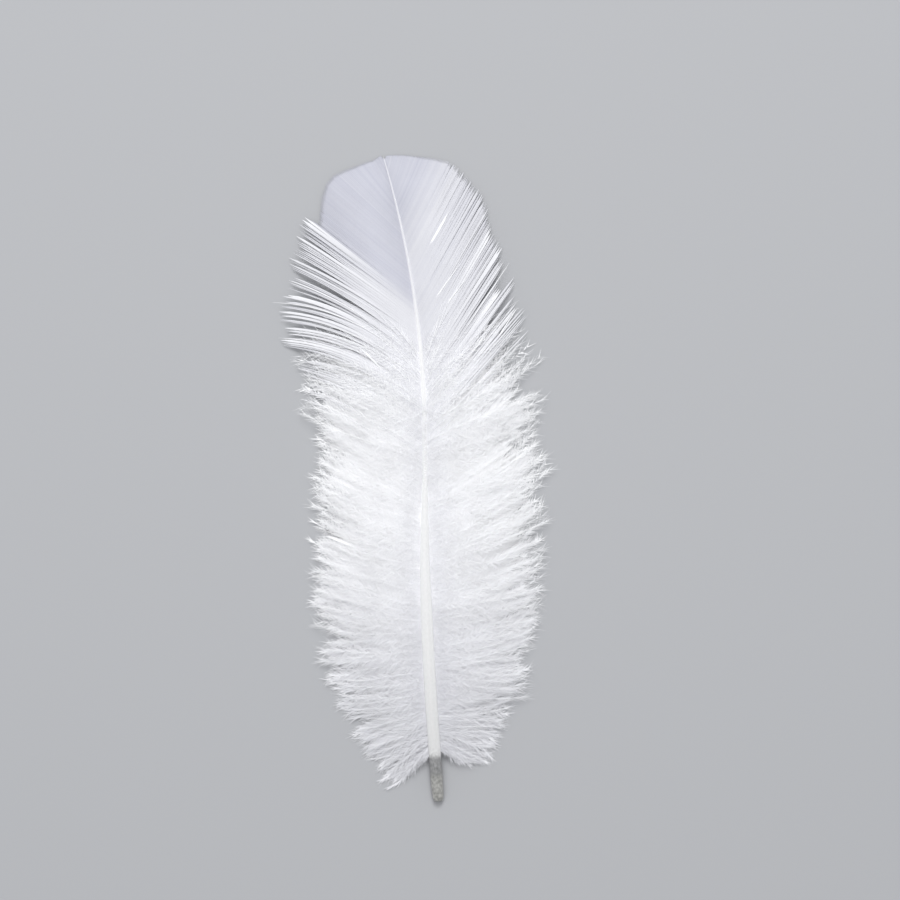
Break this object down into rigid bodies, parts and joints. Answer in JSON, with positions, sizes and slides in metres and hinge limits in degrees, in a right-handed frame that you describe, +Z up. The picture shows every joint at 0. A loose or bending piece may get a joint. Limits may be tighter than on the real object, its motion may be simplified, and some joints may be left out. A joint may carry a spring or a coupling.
{
  "type": "goose feather",
  "caption": "White goose body feather lying flat: curved horn shaft with a bare quill end, smooth vanes towards the tip and wide beds of loose down below them.",
  "frame": {"origin": "middle of the feather's length and width, on the table that it lies on", "axes": "+Y from the quill's end to the tip, +Z up from the table through the dorsal side, +X to the right seen from above with the tip up"},
  "size_m": [0.0612, 0.1406, 0.0087],
  "materials": {
    "shaft_horn": "semi-gloss translucent horn",
    "vane_web": "fine combed web with a soft sheen",
    "down_fluff": "loose matte fluff"
  },
  "bodies": {
    "root": {"shaft": "shaft_horn", "left_vane": "vane_web", "right_vane": "vane_web", "left_down": "down_fluff", "right_down": "down_fluff"}
  },
  "joints": []
}
